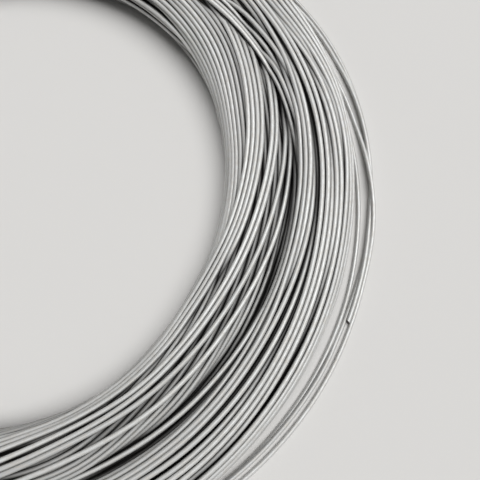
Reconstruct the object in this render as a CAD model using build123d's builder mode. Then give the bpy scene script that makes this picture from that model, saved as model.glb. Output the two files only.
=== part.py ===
# Coil of galvanized wire, as it lies on a level floor with its axis upright.
# It is one continuous wire. Its turns lie in two strands side by side, with a valley between
# them, round an open eye. A few of the outermost turns have sprung out to one side and lie
# loose on the floor, and one of them ends in the wire's cut end.
# Lengths are in millimetres, angles in degrees. The origin is on the coil's axis at the floor.

from build123d import *
from math import acos, asin, cos, degrees, radians, sin
import os

os.makedirs("parts", exist_ok=True)

# the wire
wire_diameter = 4.0

# the two strands of turns
coil_height = 54.0
eye_radius = 214.0          # clear radius of the eye, at the innermost turns
inner_strand_width = 65.0
outer_strand_width = 71.0
strand_overlap = 16.0       # how far the two strands press into each other
settle = 5.0                # how far the round strands have flattened on the floor

# the turns show as ridges, each of them a few wires wide
ridge_pitch = 10.6
ridge_depth = 3.6
eye_band_turns = 2          # innermost turns that lie straight above each other
underside_grooves = 2
underside_groove_width = 8.0

# each loose turn is a circle that has shifted sideways out of the bundle: the direction and
# length of its shift, and how far it then reaches past the bundle
innermost_turn = dict(towards=-31.0, shift=21.5, reach=12.7)
joining_turn = dict(towards=12.0, shift=28.0, reach=24.2)
crossing_turn = dict(towards=-24.0, shift=42.0, reach=23.8)
cut_turn = dict(towards=-2.0, shift=33.5, reach=22.0)
cut_angle = -23.0           # where the wire's cut end lies, round the coil

half_height = (coil_height + settle) / 2
middle_height = coil_height - half_height
bundle_radius = eye_radius + inner_strand_width - strand_overlap + outer_strand_width
inner_middle = eye_radius + inner_strand_width / 2
outer_middle = bundle_radius - outer_strand_width / 2

# the rounds of the two strands start at the floor and meet in the valley
floor_angle = degrees(asin(middle_height / half_height))
valley_angle = degrees(acos(2 * (outer_middle - inner_middle) / (inner_strand_width + outer_strand_width)))
foot_inset = (1 - cos(radians(floor_angle))) / 2
foot_radius = bundle_radius - outer_strand_width * foot_inset
inner_foot_radius = eye_radius + inner_strand_width * foot_inset


def strand_ridges(middle_radius, half_width, start_angle, end_angle):
    # corners of one strand's round: crests and the grooves between them, starting on a crest
    sweep = end_angle - start_angle
    outline = EllipticalCenterArc(
        (middle_radius, middle_height), half_width, half_height,
        start_angle=start_angle, arc_size=sweep, mode=Mode.PRIVATE,
    )
    steps = 2 * round(outline.length / ridge_pitch)
    corners = []
    for step in range(steps):
        angle = radians(start_angle + sweep * step / steps)
        depth = ridge_depth if step % 2 else 0
        corners.append((
            middle_radius + (half_width - depth) * cos(angle),
            middle_height + (half_height - depth) * sin(angle),
        ))
    return corners


def loose_turn(towards, shift, reach, cut_angle=None):
    # a six-sided wire swept round its own circle, between the places where it leaves the bundle
    centre = Vector(shift, 0, wire_diameter / 2).rotate(Axis.Z, towards)
    radius = bundle_radius + reach - shift
    inside = foot_radius - 2 * wire_diameter
    buried = degrees(acos((inside**2 - radius**2 - shift**2) / (2 * radius * shift)))
    start_angle = towards - buried if cut_angle is None else cut_angle
    outward = Vector(1, 0, 0).rotate(Axis.Z, start_angle)
    along = outward.rotate(Axis.Z, 90)
    with BuildSketch(Plane(origin=centre + outward * radius, x_dir=outward, z_dir=along)) as section:
        RegularPolygon(wire_diameter / 2, side_count=6, major_radius=False)
    revolve(
        section.sketch, axis=Axis(centre, (0, 0, 1)),
        revolution_arc=towards + buried - start_angle,
    )


with BuildPart() as wire_coil:
    # the bundle: the section of both strands, turned about the coil's axis
    with BuildSketch(Plane.XZ):
        with BuildLine():
            Polyline(
                *strand_ridges(outer_middle, outer_strand_width / 2, -floor_angle, 180 - valley_angle),
                *strand_ridges(inner_middle, inner_strand_width / 2, valley_angle, 180 + floor_angle),
                (inner_foot_radius, 0),
                close=True,
            )
        make_face()
        # the innermost turns stand as a plain band round the eye
        with Locations((eye_radius, middle_height)):
            Rectangle(
                2 * ridge_depth, eye_band_turns * wire_diameter,
                align=(Align.MIN, Align.CENTER),
            )
        # grooves between the turns of the underside
        underside = foot_radius - inner_foot_radius
        with Locations([
            (inner_foot_radius + underside * (groove + 1) / (underside_grooves + 1), 0)
            for groove in range(underside_grooves)
        ]):
            Triangle(
                c=underside_groove_width, a=underside_groove_width / 1.5,
                b=underside_groove_width / 1.5,
                align=(Align.CENTER, Align.MIN), mode=Mode.SUBTRACT,
            )
    revolve(axis=Axis.Z)

    # the loose turns, lying on the floor beside the bundle
    loose_turn(**innermost_turn)
    loose_turn(**joining_turn)
    loose_turn(**crossing_turn)
    loose_turn(**cut_turn, cut_angle=cut_angle)

wire_coil.part.label = "wire_coil"
export_step(wire_coil.part, "parts/wire_coil.step")
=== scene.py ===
import math

import bpy
import numpy as np
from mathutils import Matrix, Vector


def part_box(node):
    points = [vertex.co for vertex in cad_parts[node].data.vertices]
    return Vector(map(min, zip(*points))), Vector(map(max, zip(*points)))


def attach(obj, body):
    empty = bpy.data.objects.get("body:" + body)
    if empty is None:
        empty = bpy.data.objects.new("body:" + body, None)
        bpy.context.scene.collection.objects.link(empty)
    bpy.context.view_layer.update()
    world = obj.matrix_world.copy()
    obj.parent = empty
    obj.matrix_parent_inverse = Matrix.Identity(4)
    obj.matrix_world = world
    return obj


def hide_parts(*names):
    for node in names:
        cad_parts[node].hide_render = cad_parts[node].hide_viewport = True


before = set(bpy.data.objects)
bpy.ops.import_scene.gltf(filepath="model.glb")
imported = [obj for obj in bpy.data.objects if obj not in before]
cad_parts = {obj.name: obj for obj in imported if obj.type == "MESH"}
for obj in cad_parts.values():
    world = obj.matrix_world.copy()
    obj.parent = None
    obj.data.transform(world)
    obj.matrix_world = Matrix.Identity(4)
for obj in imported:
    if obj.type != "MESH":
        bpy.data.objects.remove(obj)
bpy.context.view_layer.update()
mm = 0.001                      # lengths below are in millimetres, angles in degrees
coilNode = "wire_coil"


def addObject(name, data):
    thing = bpy.data.objects.new(name, data)
    bpy.context.scene.collection.objects.link(thing)
    return thing


# the camera stands where the photograph was taken from
camera = dict(
    place=(228, -120, 340),     # above the right-hand side of the coil
    down=79.9,                  # how far it looks down from level
    lens=27.0,
    sensor=36.0,
    sees=(10, 20000),           # from how near, and how far
)


def makeCamera():
    data = bpy.data.cameras.new("camera")
    data.lens = camera["lens"]
    data.sensor_width = camera["sensor"]
    nearest, furthest = camera["sees"]
    data.clip_start = nearest * mm
    data.clip_end = furthest * mm
    view = addObject("camera", data)
    view.location = Vector(camera["place"]) * mm
    view.rotation_euler = (math.radians(90 - camera["down"]), 0, 0)
    bpy.context.scene.camera = view
    print("camera")


makeCamera()

wire = dict(
    thickness=4.0,
    sides=12,
    hiddenSides=6,
    hiddenStep=2,               # a hidden turn has a ring at every second station
)
# the bundle's measures are the CAD model's, down to how far it has flattened
bundle = dict(
    height=round(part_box(coilNode)[1].z / mm, 1),
    eyeRadius=214.0,
    innerWidth=65.0,
    outerWidth=71.0,
    overlap=16.0,               # how far the two strands press into each other
    settle=5.0,                 # how far they have flattened on the floor
    plain=2,                    # the power that makes a strand's round an ellipse
    shoulder=3.0,               # the upper outer edge of the bundle has this power, and is fuller
    stations=180,               # places round a turn where the wire is worked out
)
halfWire = wire["thickness"] / 2
halfHeight = (bundle["height"] + bundle["settle"]) / 2
middleHeight = bundle["height"] - halfHeight
bundleRadius = bundle["eyeRadius"] + bundle["innerWidth"] - bundle["overlap"] + bundle["outerWidth"]
# the radius of each strand's middle, and half its width
strands = dict(
    inner=(bundle["eyeRadius"] + bundle["innerWidth"] / 2, bundle["innerWidth"] / 2),
    outer=(bundleRadius - bundle["outerWidth"] / 2, bundle["outerWidth"] / 2),
)
stations = bundle["stations"]
# the wire runs clockwise, and each turn begins on the left
stationDegrees = 180 - np.arange(stations) * 360 / stations
stationAngles = np.radians(stationDegrees)

# The turns that show. A turn has its radius at these angles round the coil, and where it
# isn't on top, how many layers down it lies there. Round the far side, a turn is in a lane
# of its strand, from -1 at the inner edge to 1 at the outer one. A group gives the lanes of
# its first and last turn, for the first angle of the far side and then for the last.
seenAt = (30, 10, -10, -30, -50, -66)
innerTurns = dict(
    upper=[
        dict(radii=(251, 239, 228, 220, 223, 225)),
        dict(radii=(255, 243, 232, 224, 226, 228)),
        dict(radii=(259, 247, 235.5, 227.5, 229, 229)),
        dict(radii=(264, 251, 239, 230, 231, 231), layers=(0, 0, 0.2, 1.5, 2, 2)),
        dict(radii=(272, 260, 246, 238, 236.5, 235)),
        dict(radii=(276, 264, 250, 242, 240.5, 240.5)),
        dict(radii=(280, 272, 259, 250, 246, 244)),
        dict(radii=(283, 276, 267, 258.5, 256, 254)),
    ],
    upperLanes=((0.35, 0.95), (-0.8, 0.9)),
    # the turns that cross under them, evenly spaced round the top of the strand
    under=dict(
        count=16,
        first=196,
        spacing=4.4,
        drift=(12, 2.5, 0.7, 4.7, 15.5, 28),    # how much further out they lie at each angle
        layers=1.0,
        valleyAt=23,            # past this, from the strand's middle, they go down into the valley
    ),
    underLanes=((-0.95, 0.25), (-0.9, 0.9)),
    valley=[dict(radii=(283, 283, 281, 276, 273, 270.5), layers=(3, 3, 2.5, 0.5, 0, 0))],
    valleyLanes=((0.9, 0.9), (0.9, 0.9)),
)
# a fan of turns that pass from the top of the inner strand over to the outer one
fanTurns = dict(
    at=(75, 52, 30, 20, 10, 0, -20, -45, -70),
    upper=[
        dict(
            radii=(236, 244, 261.5, 271, 276, 280, 283, 283, 281),
            layers=(0, 0, 0, 0, 0.8, 2, 2, 2, 2),
        ),
        dict(
            radii=(240, 248, 265.5, 275, 280, 284, 287, 287, 285),
            layers=(0, 0, 0, 0, 0.8, 2, 2, 2, 2),
        ),
        dict(
            radii=(246, 256, 272, 278, 282, 285, 288, 288, 287),
            layers=(0, 0, 0.8, 1.2, 1.8, 3, 3, 3, 3),
        ),
        dict(
            radii=(251, 261, 277, 283, 288, 291, 293, 293, 292),
            layers=(0, 0, 0.8, 1.2, 1.8, 3, 3, 3, 3),
        ),
    ],
    farSide={110: 238, 150: 240, 195: 290, 240: 293},   # the first one's radii round the far side
    farSpacing=4,               # between them there, and how much each of them strays
    farWander=2,
    levelFrom=318,              # from this radius outwards they come down no further
    lift=3.6,                   # how high they ride over the other turns, and where
    liftedAt=(12, 20, 48, 62),
    pressed=1.7,                # how many layers the inner strand's turns dip under them,
    pressedAt=(0, 8, 40, 85),   # between which angles,
    pressedNear=(-9, -3.5),     # and how near the fan's edge that begins and is full
)
outerTurns = dict(
    upper=[
        dict(radii=(282, 281.5, 279.5, 279.5, 281.5, 280.5), layers=(0.4, 0.4, 0.4, 0.4, 0.4, 0.4)),
        dict(radii=(285, 285.5, 283, 283.5, 285, 284)),
        dict(radii=(287, 289, 286.5, 284, 284, 282), layers=(0.6, 0, 0, 1.4, 1.6, 1.6)),
        dict(radii=(290, 291, 290.3, 288, 288, 286), layers=(2, 1.5, 0, 0, 0, 0)),
        dict(radii=(291, 293.6, 295.3, 295, 294, 290), layers=(2.5, 1.6, 1.5, 0.3, 0, 0)),
        dict(radii=(290, 296.3, 298.4, 302.3, 304, 300)),
        dict(radii=(292, 298, 300, 299, 300, 296), layers=(2, 2, 2, 1.2, 0.3, 0.3)),
        dict(radii=(294, 301.2, 303, 306, 308.5, 306)),
        dict(radii=(295, 304, 306.7, 310, 313, 310), layers=(1.8, 1, 0, 0, 1.2, 1.5)),
        dict(radii=(296.5, 307, 310.8, 313.5, 313, 311), layers=(1.6, 0.2, 0, 2, 2.5, 2.5)),
        dict(radii=(296.5, 311, 314.6, 317.5, 318, 315), layers=(0.4, 0, 0, 0, 0, 0)),
        dict(radii=(298.5, 314.6, 317.5, 318, 318, 316), layers=(0.2, 0.2, 1.2, 2, 2, 2)),
        dict(radii=(302.5, 318, 319.2, 322, 322, 319)),
        dict(radii=(307.5, 321.3, 323, 325, 325, 323)),
        dict(radii=(312, 325.5, 328.5, 327, 325.5, 324), layers=(0, 0.5, 1.2, 0.5, 0, 0)),
        dict(radii=(316.5, 328, 330, 329, 328, 326), layers=(0, 1, 2.5, 2, 1.5, 1.5)),
    ],
    lanes=((-0.9, 0.9), (-0.9, 0.9)),
    # under each turn that stays on top lie others: how many layers down, and how far aside
    below=((2, 1.6), (1, 0)),
    belowHold=0.7,              # how firmly these are held
)
# turns that have sprung out of the bundle and lie on the floor
looseTurns = dict(
    at=(75, 45, 30, 10, -10, -23, -30, -50, -66, -90, -110),
    besideAt=(105, 150, 195, 240),      # there they lie beside the bundle
    innermost=dict(radii=(331, 331, 335, 341, 345, 347, 347, 345, 342, 334, 331), beside=326),
    joining=dict(radii=(336, 347.5, 354.6, 357.8, 354, 350.8, 350, 345, 339, 331, 331), beside=330),
    crossing=dict(radii=(330, 333, 339, 349.4, 357.2, 357.6, 357.6, 353, 346, 333, 330), beside=328),
    cutOff=dict(radii=(335, 341.5, 350.6, 356, 353.8, 353.2, 353, 352, 348, 336, 331), beside=330),
    order=("innermost", "joining", "crossing", "cutOff"),
    cutAngle=-22.7,
    cutSlant=(1.1, 1.0),        # how far back the wire's inner side and its top lie at the cut
    # where a turn lies on top of another: by how much, and between which angles
    climbs=dict(joining=(4.0, -33, -80), crossing=(4.0, 2, -8), cutOff=(2.8, 10, -60)),
    climbOver=12,               # it climbs within this many degrees
)
heap = dict(
    seed=5,
    spacing=4.65,               # between the hidden turns, before they settle
    rowRise=0.87,               # a row of them lies this much of the spacing above the next
    layer=3.5,                  # what a layer of the turns that show adds
    layersAbove=2.65,           # so many layers lie over the hidden turns
    valley=dict(radius=273, half=8.5, filledTo=35),     # hidden turns fill the valley to this height
    wander=dict(inner=3.2, outer=2.0),
    waves=((1, 1.0), (2, 0.7), (3, 0.45), (4, 0.3), (5, 0.2)),  # waves round a turn, and their share
    bunch=6,                    # so many hidden turns wander together
    strays=0.3,                 # the share of them that begins a wander of its own
    shuffle=9,                  # how much the order in which they are laid is mixed
    farSide=(75, 120, 165, 210, 255),   # where a turn that shows is held to its lane
    laneEdge=3,                 # how far the outermost lanes stay inside the strand
    laneWander=2.2,
    seen=(-82, -68, 44, 56),    # between these angles turns that show are held to their radii
    joinLength=0.14,            # a turn passes into the next within this part of a turn,
    joinFrom=(-0.24, 0.10),     # which begins somewhere between these parts of a turn
    # the bundle's edges are drawn in: how much, and between which angles
    insets=dict(outer=(4.0, (-80, -62, 44, 66)), inner=(9.0, (-140, -100, -62, -24))),
)
rng = np.random.default_rng(heap["seed"])


def roundCurve(values):
    # a smooth closed curve through radii at angles, read at each station
    knots = sorted((angle % 360, value) for angle, value in values.items())
    x = np.array([angle for angle, value in knots], float)
    y = np.tile([value for angle, value in knots], 3).astype(float)
    x = np.concatenate([x - 360, x, x + 360])
    gaps, rises = np.diff(x), np.diff(y)
    steep = rises / gaps
    slope = np.zeros(len(x))
    slope[1:-1] = (steep[:-1] * gaps[1:] + steep[1:] * gaps[:-1]) / (gaps[:-1] + gaps[1:])
    at = stationDegrees % 360
    k = np.clip(np.searchsorted(x, at, side="right") - 1, 0, len(x) - 2)
    h = x[k + 1] - x[k]
    t = (at - x[k]) / h
    return (
        (2 * t**3 - 3 * t**2 + 1) * y[k] + (t**3 - 2 * t**2 + t) * h * slope[k]
        + (3 * t**2 - 2 * t**3) * y[k + 1] + (t**3 - t**2) * h * slope[k + 1]
    )


def ramp(values, start, end):
    t = np.clip((values - start) / (end - start), 0, 1)
    return t * t * (3 - 2 * t)


def between(start, full, last, end):
    # 1 from the angle full to the angle last, fading to 0 at start and end
    return ramp(stationDegrees, start, full) * ramp(stationDegrees, end, last)


def fromMiddle(name, radius, height, inset):
    # how far out in a strand a wire lies, where 1 is in its outermost layer, and the radius
    # of the strand's middle once its edge is drawn in
    middle, half = strands[name]
    middle = middle + (-inset / 2 if name == "outer" else inset / 2)
    across = (radius - middle) / (half - inset / 2 - halfWire)
    up = (height - middleHeight) / (halfHeight - halfWire)
    full = (name == "outer") & (across > 0) & (up > 0)
    power = np.where(full, bundle["shoulder"], bundle["plain"])
    return (np.abs(across)**power + np.abs(up)**power)**(1 / power), middle


def crown(radius):
    # height of a wire that lies on top of the strands
    top = np.full(np.shape(radius), halfWire)
    for name, (middle, half) in strands.items():
        across = (radius - middle) / (half - halfWire)
        power = np.where((name == "outer") & (across > 0), bundle["shoulder"], bundle["plain"])
        rise = np.clip(1 - np.abs(across)**power, 0, 1)**(1 / power)
        rise = middleHeight + (halfHeight - halfWire) * rise
        top = np.where(np.abs(across) < 1, np.maximum(top, rise), top)
    return top


seenWeight = between(*heap["seen"])


def wander(size):
    curve = np.zeros(stations)
    for wave, share in heap["waves"]:
        a, b = rng.standard_normal(2) * size * share
        curve += a * np.cos(wave * stationAngles) + b * np.sin(wave * stationAngles)
    return curve


class Lay:
    # every turn's radius and height at each station, how firmly it is held there, and its kind
    def __init__(self):
        self.radius, self.height, self.hold, self.kind = [], [], [], []

    def add(self, radius, height, hold, kind):
        self.radius.append(radius)
        self.height.append(np.zeros(stations) + height)
        self.hold.append(np.zeros(stations) + hold)
        self.kind.append(kind)

    def loosePlaces(self):
        return np.repeat([kind == "loose" for kind in self.kind], stations)


def hiddenPlaces(name):
    # rows of wires that fill a strand from the floor up to below its upper turns
    middle, half = strands[name]
    spacing, valley = heap["spacing"], heap["valley"]
    places = []
    height = halfWire
    while height < bundle["height"]:
        level = (height - middleHeight) / (halfHeight - halfWire)
        width = (half - halfWire) * math.sqrt(max(0, 1 - level**2))
        count = int(2 * width // spacing) + 1
        for n in range(count):
            radius = middle + (n - (count - 1) / 2) * spacing
            top = crown(radius) - heap["layersAbove"] * heap["layer"]
            if abs(radius - valley["radius"]) < valley["half"]:
                top = min(top, valley["filledTo"])
            if height < top or level < 0:
                places.append((radius, height))
        height += spacing * heap["rowRise"]
    order = np.argsort(np.arange(len(places)) + rng.uniform(0, heap["shuffle"], len(places)))
    return [places[n] for n in order]


def layHidden(lay):
    places = {name: hiddenPlaces(name) for name in strands}
    while any(places.values()):
        for name, left in places.items():
            together, places[name] = left[:heap["bunch"]], left[heap["bunch"]:]
            shape = wander(heap["wander"][name])
            for radius, height in together:
                if rng.uniform() < heap["strays"]:
                    shape = wander(heap["wander"][name])
                lay.add(radius + shape, height, 0, name + "Hidden")


def underTurns():
    under = innerTurns["under"]
    middle, half = strands["inner"]
    turns = []
    for n in range(under["count"]):
        place = under["first"] + n * under["spacing"] + np.array(under["drift"]) - middle
        past = np.maximum(place - under["valleyAt"], 0)
        radii = middle + (half - halfWire) * np.sin((place - past) / (half - halfWire))
        turns.append(dict(radii=radii, layers=under["layers"] + past / heap["layer"]))
    return turns


def laySeen(lay, name, turns, lanes, hold=1, deeper=0, aside=0):
    middle, half = strands[name]
    farSide = heap["farSide"]
    fanEdge = roundCurve(dict(zip(fanTurns["at"], fanTurns["upper"][0]["radii"])))
    for n, turn in enumerate(turns):
        layers = turn.get("layers", (0,) * len(seenAt))
        if deeper and max(layers) >= 1:
            continue            # this one dips itself, so nothing is laid under it
        share = n / max(len(turns) - 1, 1)
        ends = [first + (last - first) * share for first, last in lanes]
        radii = dict(zip(seenAt, np.array(turn["radii"]) + aside))
        layers = dict(zip(seenAt, layers))
        for angle in farSide:
            lane = np.interp(angle, (farSide[0], farSide[-1]), ends)
            radii[angle] = middle + lane * (half - heap["laneEdge"]) + rng.normal() * heap["laneWander"]
            layers[angle] = 0
        radius = np.clip(roundCurve(radii), middle - half + halfWire, middle + half - halfWire)
        layersDown = np.maximum(roundCurve(layers), 0) + deeper
        if name == "inner":
            near = ramp(radius - fanEdge, *fanTurns["pressedNear"]) * between(*fanTurns["pressedAt"])
            layersDown = layersDown + fanTurns["pressed"] * near
        lay.add(radius, crown(radius) - layersDown * heap["layer"], seenWeight * hold, name + "Upper")


def layFan(lay):
    for n, turn in enumerate(fanTurns["upper"]):
        radii = dict(zip(fanTurns["at"], turn["radii"]))
        layers = dict(zip(fanTurns["at"], turn["layers"]))
        for angle, radius in fanTurns["farSide"].items():
            radii[angle] = radius + fanTurns["farSpacing"] * n + rng.normal() * fanTurns["farWander"]
            layers[angle] = 0
        radius = roundCurve(radii)
        height = crown(np.minimum(radius, fanTurns["levelFrom"])) - roundCurve(layers) * heap["layer"]
        height = height + fanTurns["lift"] * between(*fanTurns["liftedAt"])
        lay.add(radius, height, seenWeight, "outerUpper")


def layLoose(lay):
    over = looseTurns["climbOver"]
    for name in looseTurns["order"]:
        turn = looseTurns[name]
        radii = dict(zip(looseTurns["at"], turn["radii"]))
        for angle in looseTurns["besideAt"]:
            radii[angle] = turn["beside"]
        height = np.full(stations, halfWire)
        if name in looseTurns["climbs"]:
            rise, high, low = looseTurns["climbs"][name]
            height = height + rise * between(low - over, low, high, high + over)
        lay.add(roundCurve(radii), height, 1, "loose")


def layTurns():
    lay = Lay()
    layHidden(lay)
    laySeen(lay, "inner", underTurns(), innerTurns["underLanes"])
    for deeper, aside in outerTurns["below"]:
        laySeen(
            lay, "outer", outerTurns["upper"], outerTurns["lanes"], outerTurns["belowHold"], deeper, aside,
        )
    laySeen(lay, "inner", innerTurns["upper"], innerTurns["upperLanes"])
    laySeen(lay, "inner", innerTurns["valley"], innerTurns["valleyLanes"])
    layFan(lay)
    laySeen(lay, "outer", outerTurns["upper"], outerTurns["lanes"])
    layLoose(lay)
    print(len(lay.kind), "turns laid")
    return lay


def joinTurns(lay):
    # one wire from end to end: each turn passes into the next somewhere on the left
    radius, height = np.array(lay.radius), np.array(lay.height)
    wireRadius, wireHeight = radius.ravel().copy(), height.ravel().copy()
    length = int(heap["joinLength"] * stations)
    for n in range(1, len(radius)):
        first = int(rng.uniform(*heap["joinFrom"]) * stations)
        span = np.arange(min(first, 0), max(first + length, 0))
        blend = ramp(span, first, first + length)
        at, place = n * stations + span, span % stations
        wireRadius[at] = radius[n - 1, place] * (1 - blend) + radius[n, place] * blend
        wireHeight[at] = height[n - 1, place] * (1 - blend) + height[n, place] * blend
    print("joined to one wire")
    return wireRadius, wireHeight


def smoothAlong(values, reach):
    n = int(3 * reach) + 1
    kernel = np.exp(-np.arange(-n, n + 1)**2 / (2 * reach**2))
    padded = np.concatenate([np.full(n, values[0]), values, np.full(n, values[-1])])
    return np.convolve(padded, kernel / kernel.sum(), "valid")


def cutPlace(size):
    # the last turn ends where it is cut, some way past a station
    past, share = divmod((180 - looseTurns["cutAngle"]) * stations / 360, 1)
    return size - stations + int(past) + 1, share


def nearPairs(radius, height, reach, wireEnd):
    # pairs of places, side by side on two turns, that are no further apart than reach
    turns = len(radius) // stations
    r, z = radius.reshape(turns, stations), height.reshape(turns, stations)
    one, other = np.triu_indices(turns, 1)
    pairs = []
    for k in range(stations):
        close = np.abs(r[one, k] - r[other, k]) < reach
        a, b = one[close], other[close]
        close = np.abs(z[a, k] - z[b, k]) < reach
        pairs.append(np.stack([a[close], b[close]]) * stations + k)
    pairs = np.concatenate(pairs, 1)
    return pairs[:, pairs.max(0) < wireEnd]


settling = dict(
    rounds=230,
    lookEvery=10,               # after so many rounds, neighbours are looked for again
    reach=1.3,                  # how near they are, in thicknesses of the wire
    steepFrom=3.0,              # turns that begin this far apart in height stay above each other
    steepness=1.5,              # how strongly they do
    firmness=0.85,              # how little a turn that shows gives way sideways
    crowding=0.55,              # how much pushes are eased where many turns touch
    confine=0.5,                # how fast a turn comes back into the bundle
    keep=dict(radius=0.4, height=0.03),         # how fast a turn that shows goes back to its place
    recall=dict(radius=0.012, height=0.006),    # the same for every turn, less and less
    sink=0.012,                 # how far every turn sinks in a round
    stride=1.25,                # how much of each move is made
    smoothing=2.6,              # the wire bends over about so many stations
    least=1e-9,                 # a length that is as good as none
)


def settleTurns(lay, radius, height):
    # turns push apart to a wire's thickness, bend only gently, sink, and stay in the bundle
    startRadius, startHeight = radius.copy(), height.copy()
    hold = np.array(lay.hold).ravel()
    loose = lay.loosePlaces()
    size = len(radius)
    wireEnd, _ = cutPlace(size)
    drawn = {
        name: np.tile(depth * between(*angles), size // stations)
        for name, (depth, angles) in heap["insets"].items()
    }
    keep, recall, stride = settling["keep"], settling["recall"], settling["stride"]
    for step in range(settling["rounds"]):
        if step % settling["lookEvery"] == 0:
            one, other = nearPairs(radius, height, wire["thickness"] * settling["reach"], wireEnd)
            above = startHeight[one] - startHeight[other]
            rank = np.sign(above + settling["least"])
            steep = np.clip(np.abs(above) / settling["steepFrom"], 0, 1)
        across, up = radius[one] - radius[other], height[one] - height[other]
        over = wire["thickness"] - np.hypot(across, up)
        hit = over > 0
        a, b, push = one[hit], other[hit], over[hit]
        across, up = across[hit], up[hit] + rank[hit] * steep[hit] * push * settling["steepness"]
        length = np.hypot(across, up) + settling["least"]
        across, up = across / length * push, up / length * push
        freeA, freeB = 1 - settling["firmness"] * hold[a], 1 - settling["firmness"] * hold[b]
        share = freeA / (freeA + freeB)
        moveRadius = np.bincount(a, across * share, size) - np.bincount(b, across * (1 - share), size)
        moveHeight = np.bincount(a, up / 2, size) - np.bincount(b, up / 2, size)
        contacts = np.bincount(a, minlength=size) + np.bincount(b, minlength=size)
        ease = 1 / np.maximum(1, contacts * settling["crowding"])
        moveRadius *= ease
        moveHeight *= ease
        inner, innerMiddle = fromMiddle("inner", radius, height, drawn["inner"])
        outer, outerMiddle = fromMiddle("outer", radius, height, drawn["outer"])
        nearer = np.where(inner < outer, innerMiddle, outerMiddle)
        excess = np.minimum(inner, outer)
        back = np.where((excess > 1) & ~loose, 1 - 1 / np.maximum(excess, 1), 0) * settling["confine"]
        moveRadius -= (radius - nearer) * back
        moveHeight -= (height - middleHeight) * back
        fade = 1 - step / settling["rounds"]
        moveRadius += (startRadius - radius) * (keep["radius"] * hold + recall["radius"] * fade)
        moveHeight += (startHeight - height) * (keep["height"] * hold + recall["height"] * fade)
        moveHeight -= settling["sink"]
        radius += smoothAlong(moveRadius, settling["smoothing"]) * stride
        height += smoothAlong(moveHeight, settling["smoothing"]) * stride
        np.clip(height, halfWire, bundle["height"] - halfWire, out=height)
    print("settled,", round(float(push.mean()), 2), "mm mean overlap")
    return radius, height


sky = dict(
    directions=24,              # looked into round the wire, a multiple of the wire's sides
    reach=12,                   # how far off other turns hide the sky,
    floorReach=80,              # and the floor
    smoothing=1.5,              # along the wire, in stations
    looseShadeShare=0.35,             # the painted shade on the loose turns is only this share as deep
)


def openness(radius, height):
    # how much of what each side of the wire faces is free of other turns and of the floor
    wireEnd, _ = cutPlace(len(radius))
    one, other = nearPairs(radius, height, sky["reach"], wireEnd)
    one, other = np.concatenate([one, other]), np.concatenate([other, one])
    across, up = radius[other] - radius[one], height[other] - height[one]
    towards = np.arctan2(up, -across)
    covers = np.arcsin(np.minimum(halfWire / np.hypot(across, up), 1))
    looks = np.arange(sky["directions"]) * 2 * math.pi / sky["directions"]
    blocked = np.zeros((len(radius), len(looks)))
    for n, look in enumerate(looks):
        apart = np.abs((towards - look + math.pi) % (2 * math.pi) - math.pi)
        floorNear = height < -sky["floorReach"] * math.sin(look)
        blocked[:, n] = (np.bincount(one, apart < covers, len(radius)) > 0) | floorNear
    facing = np.clip(np.cos(looks[:, None] - looks), 0, 1)
    facing *= 1 + np.sin(looks)             # most of the light comes from above
    facing /= facing.sum(1, keepdims=True)
    free = (1 - blocked) @ facing.T
    print("openness worked out")
    return np.stack([smoothAlong(column, sky["smoothing"]) for column in free.T], 1)


def windCoil():
    lay = layTurns()
    radius, height = settleTurns(lay, *joinTurns(lay))
    shade = np.repeat(rng.uniform(0, 1, len(lay.kind)), stations)
    # how open each side of the wire lies, from which the zinc paints shade into the crevices
    free = openness(radius, height)
    loose = lay.loosePlaces()
    # painted shade: the loose turns, lying in the open, get less of it
    free[loose] = 1 - (1 - free[loose]) * sky["looseShadeShare"]
    return dict(
        radius=radius, height=height, kind=lay.kind, openness=free,
        tone=smoothAlong(shade, zinc["shadeLength"]),
    )


def runPoints(coil, first, last, step):
    # the stations along a run of turns, the wire's middle there, and whether it ends in the cut
    isCut = last == len(coil["kind"])
    end, share = cutPlace(last * stations) if isCut else (last * stations, 1)
    at = np.arange(first * stations, end + 1, step)
    angle = stationAngles[at % stations]
    radius, height = coil["radius"][at], coil["height"][at]
    points = np.stack([radius * np.cos(angle), radius * np.sin(angle), height], 1) * mm
    points[-1] = points[-2] * (1 - share) + points[-1] * share
    return at, points, isCut


def wireRings(points, corner, isCut):
    # rings of corners round the wire, from its inner side over its top
    along = np.gradient(points, axis=0)
    along /= np.linalg.norm(along, axis=1)[:, None]
    inward = np.cross(along, (0, 0, 1))
    inward /= np.linalg.norm(inward, axis=1)[:, None]
    upward = np.cross(inward, along)
    ring = inward[:, None] * np.cos(corner)[None, :, None] + upward[:, None] * np.sin(corner)[None, :, None]
    rings = points[:, None] + ring * halfWire * mm
    if isCut:
        slantIn, slantUp = looseTurns["cutSlant"]
        rings[-1] -= along[-1] * (slantIn * np.cos(corner) + slantUp * np.sin(corner))[:, None] * mm
    # each end is closed with a ring of its own
    return np.concatenate([rings, rings[:1], rings[-1:]])


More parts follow.
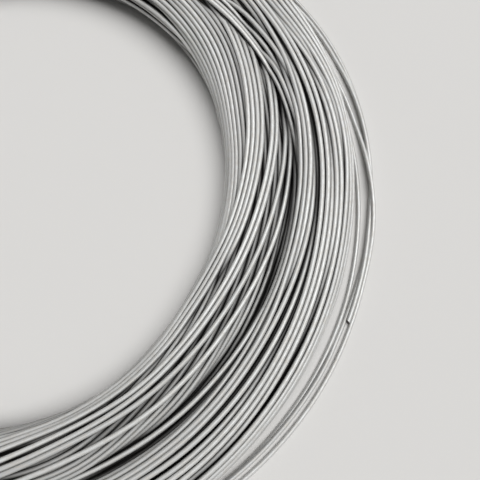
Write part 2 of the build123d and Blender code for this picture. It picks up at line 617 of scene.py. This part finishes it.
def wireMesh(name, rings):
    # smooth walls between the rings, and a flat cap at each end
    count, sides = len(rings) - 2, rings.shape[1]
    k, n = np.meshgrid(np.arange(count - 1), np.arange(sides), indexing="ij")
    k, n = k.ravel(), n.ravel()
    m = (n + 1) % sides
    walls = np.stack([k * sides + n, (k + 1) * sides + n, (k + 1) * sides + m, k * sides + m], 1)
    startCap = count * sides + np.arange(sides)
    endCap = (count + 1) * sides + np.arange(sides)[::-1]
    corners = np.concatenate([walls.ravel(), startCap, endCap])
    starts = np.append(np.arange(len(walls)) * 4, [len(walls) * 4, len(walls) * 4 + sides])
    mesh = bpy.data.meshes.new(name)
    mesh.vertices.add(rings.size // 3)
    mesh.vertices.foreach_set("co", rings.ravel())
    mesh.loops.add(len(corners))
    mesh.loops.foreach_set("vertex_index", corners)
    mesh.polygons.add(len(starts))
    mesh.polygons.foreach_set("loop_start", starts)
    mesh.update(calc_edges=True)
    mesh.polygons.foreach_set("use_smooth", np.arange(len(starts)) < len(walls))
    return mesh


def wireRun(coil, first, last):
    # round wire along a run of turns of one kind
    kind = coil["kind"][first]
    hidden = kind.endswith("Hidden")
    sides, step = (wire["hiddenSides"], wire["hiddenStep"]) if hidden else (wire["sides"], 1)
    at, points, isCut = runPoints(coil, first, last, step)
    corner = np.arange(sides) * 2 * math.pi / sides
    mesh = wireMesh(kind, wireRings(points, corner, isCut))
    # what the zinc's nodes read: where a point is along and round the wire, its turn's own shade of zinc,
    # how open it lies, which sets the painted shade in the crevices, and whether it is on a cut end
    run = np.concatenate([[0], np.cumsum(np.linalg.norm(np.diff(points, axis=0), axis=1))])
    run = np.concatenate([run, run[:1], run[-1:]])
    again = np.concatenate([at, at[:1], at[-1:]])
    rings = len(again)
    spread = np.repeat(run, sides), np.tile(np.cos(corner), rings), np.tile(np.sin(corner), rings)
    wireSpace = mesh.attributes.new("wireSpace", "FLOAT_VECTOR", "POINT")
    wireSpace.data.foreach_set("vector", np.stack(spread, 1).ravel())
    readings = dict(
        turnTone=np.repeat(coil["tone"][again], sides),
        openness=coil["openness"][again][:, ::sky["directions"] // sides].ravel(),
        cutFace=np.repeat(np.arange(rings) >= len(at), sides),
    )
    for name, values in readings.items():
        mesh.attributes.new(name, "FLOAT", "POINT").data.foreach_set("value", values.astype(np.float32))
    return addObject(kind, mesh)


def makeWire(coil, finish):
    # the runs of one kind are joined to one piece
    kinds = coil["kind"]
    firsts = [n for n in range(len(kinds)) if n == 0 or kinds[n] != kinds[n - 1]]
    runs = {}
    for first, last in zip(firsts, firsts[1:] + [len(kinds)]):
        runs.setdefault(kinds[first], []).append(wireRun(coil, first, last))
    for kind, parts in runs.items():
        piece = parts[0]
        if len(parts) > 1:
            with bpy.context.temp_override(active_object=piece, selected_editable_objects=parts):
                bpy.ops.object.join()
        piece.data.materials.append(finish)
        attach(piece, "root")
        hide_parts(coilNode)
        print(kind, len(piece.data.polygons), "faces")


class Shader:
    # the nodes of a material or a world, which begin empty
    def __init__(self, owner):
        owner.use_nodes = True
        self.tree = owner.node_tree
        self.tree.nodes.clear()

    def node(self, kind, settings, values, output=0):
        made = self.tree.nodes.new(kind)
        for name, value in settings.items():
            setattr(made, name, value)
        for slot, value in values.items():
            if isinstance(value, Socket):
                self.tree.links.new(value.link, made.inputs[slot])
            else:
                made.inputs[slot].default_value = value
        return Socket(self, made.outputs[output]) if made.outputs else None


class Socket:
    # wraps a node's output, so that shader maths reads as Python
    def __init__(self, shader, link):
        self.shader, self.link = shader, link

    def maths(self, operation, one, other):
        return self.shader.node("ShaderNodeMath", dict(operation=operation), {0: one, 1: other})

    def __add__(self, other):
        return self.maths("ADD", self, other)

    def __radd__(self, other):
        return self.maths("ADD", other, self)

    def __sub__(self, other):
        return self.maths("SUBTRACT", self, other)

    def __rsub__(self, other):
        return self.maths("SUBTRACT", other, self)

    def __mul__(self, other):
        return self.maths("MULTIPLY", self, other)

    def __rmul__(self, other):
        return self.maths("MULTIPLY", other, self)


zinc = dict(
    bright=(0.625, 0.63, 0.625, 1),
    dull=(0.42, 0.425, 0.425, 1),
    warm=(0.515, 0.49, 0.45, 1),
    # painted shade: the near-black colour painted into the crevices where other turns and the floor hide
    # the sky
    creviceShade=(0.022, 0.021, 0.020, 1),
    # the cut face is painted near-black: partly dark bare steel, partly painted shade for the shadow in the
    # notch at the cut
    cutSteelAndShade=(0.10, 0.09, 0.085, 1),
    metallic=0.40,
    roughness=0.50,
    roughSpread=0.2,
    streaks=dict(scale=(14.0, 2.2, 2.2), detail=3.0),   # how fine, along the wire and round it
    mottle=dict(scale=(240.0, 1.6, 1.6), detail=2.0),
    dullStreaks=1.6,            # how much of the dull zinc comes from the streaks,
    dullTurns=0.9,              # how much from a turn's own shade,
    dullFrom=0.95,              # and from what it begins
    warmMottle=2.4,
    warmFrom=1.0,
    bump=dict(strength=0.2, depth=0.2, streaks=0.4, mottle=0.6),
    darkBelow=(0.29, 0.80),     # painted shade: how open a place is where the painted shade is darkest, and from where there is none
    shadeLength=12,             # a turn's shade passes into the next over about so many stations
)


def zincMaterial():
    material = bpy.data.materials.new("galvanizedZinc")
    shader = Shader(material)

    def reading(name, output="Fac"):
        return shader.node("ShaderNodeAttribute", dict(attribute_name=name), {}, output)

    def noise(space, scale, detail):
        place = shader.node("ShaderNodeVectorMath", dict(operation="MULTIPLY"), {0: space, 1: scale})
        return shader.node("ShaderNodeTexNoise", {}, dict(Vector=place, Scale=1.0, Detail=detail))

    def mix(share, one, other):
        # sockets 6 and 7 take colours, and output 2 gives one
        return shader.node(
            "ShaderNodeMix", dict(data_type="RGBA", clamp_factor=True), {0: share, 6: one, 7: other}, 2,
        )

    space = reading("wireSpace", "Vector")
    streaks = noise(space, **zinc["streaks"])
    mottle = noise(space, **zinc["mottle"])
    dullness = zinc["dullStreaks"] * streaks + zinc["dullTurns"] * reading("turnTone") - zinc["dullFrom"]
    base = mix(dullness, zinc["bright"], zinc["dull"])
    base = mix(zinc["warmMottle"] * mottle - zinc["warmFrom"], base, zinc["warm"])
    darkest, unshadedFrom = zinc["darkBelow"]
    # painted shade: the base colour goes over to the near-black crevice colour where the wire lies less
    # open to the sky
    base = mix((unshadedFrom - reading("openness")) * (1 / (unshadedFrom - darkest)), base, zinc["creviceShade"])
    # the cut end gets the near-black colour: dark steel and painted shade together
    base = mix(reading("cutFace"), base, zinc["cutSteelAndShade"])
    spread, bump = zinc["roughSpread"], zinc["bump"]
    rough = zinc["roughness"] + (streaks - 0.5) * spread + (mottle - 0.5) * spread
    normal = shader.node("ShaderNodeBump", {}, dict(
        Strength=bump["strength"],
        Distance=bump["depth"] * mm,
        Height=bump["mottle"] * mottle + bump["streaks"] * streaks,
    ))
    surface = shader.node("ShaderNodeBsdfPrincipled", {}, {
        "Base Color": base,
        "Metallic": zinc["metallic"],
        "Roughness": rough,
        "Normal": normal,
    })
    shader.node("ShaderNodeOutputMaterial", {}, dict(Surface=surface))
    print("zinc")
    return material


makeWire(windCoil(), zincMaterial())

studio = dict(
    floor=(0.74, 0.73, 0.715, 1),
    floorRoughness=0.9,
    floorSize=14000,
    backdrop=(0.80, 0.80, 0.79, 1),     # seen beyond the floor, and in the metal
    sky=0.20,                           # what the same sky lends to the light
    lamp=dict(towards=(0.65, 0.5, 2.9), width=58, strength=2.5),
)


def makeFloor():
    size = studio["floorSize"] * mm / 2
    corners = [(-size, -size, 0), (size, -size, 0), (size, size, 0), (-size, size, 0)]
    mesh = bpy.data.meshes.new("floor")
    mesh.from_pydata(corners, [], [(0, 1, 2, 3)])
    material = bpy.data.materials.new("paleFloor")
    shader = Shader(material)
    surface = shader.node("ShaderNodeBsdfPrincipled", {}, {
        "Base Color": studio["floor"],
        "Roughness": studio["floorRoughness"],
    })
    shader.node("ShaderNodeOutputMaterial", {}, dict(Surface=surface))
    mesh.materials.append(material)
    addObject("floor", mesh)
    print("floor")


def softLight(name, towards, width, strength):
    # a wide round light, far off, so that the floor is lit evenly
    data = bpy.data.lights.new(name, "SUN")
    data.angle = math.radians(width)
    data.energy = strength
    light = addObject(name, data)
    light.rotation_euler = Vector(towards).to_track_quat("Z", "Y").to_euler()


def makeLight():
    world = bpy.data.worlds.new("studio")
    shader = Shader(world)
    onCamera, onMetal, throughGlass = [
        shader.node("ShaderNodeLightPath", {}, {}, name)
        for name in ("Is Camera Ray", "Is Glossy Ray", "Is Transmission Ray")
    ]
    shown = onCamera + onMetal + throughGlass
    background = shader.node("ShaderNodeBackground", {}, dict(
        Color=studio["backdrop"],
        Strength=studio["sky"] + shown * (1 - studio["sky"]),
    ))
    shader.node("ShaderNodeOutputWorld", {}, dict(Surface=background))
    bpy.context.scene.world = world
    softLight("lamp", **studio["lamp"])
    print("light")


makeFloor()
makeLight()
bpy.context.scene.view_settings.view_transform = "Standard"
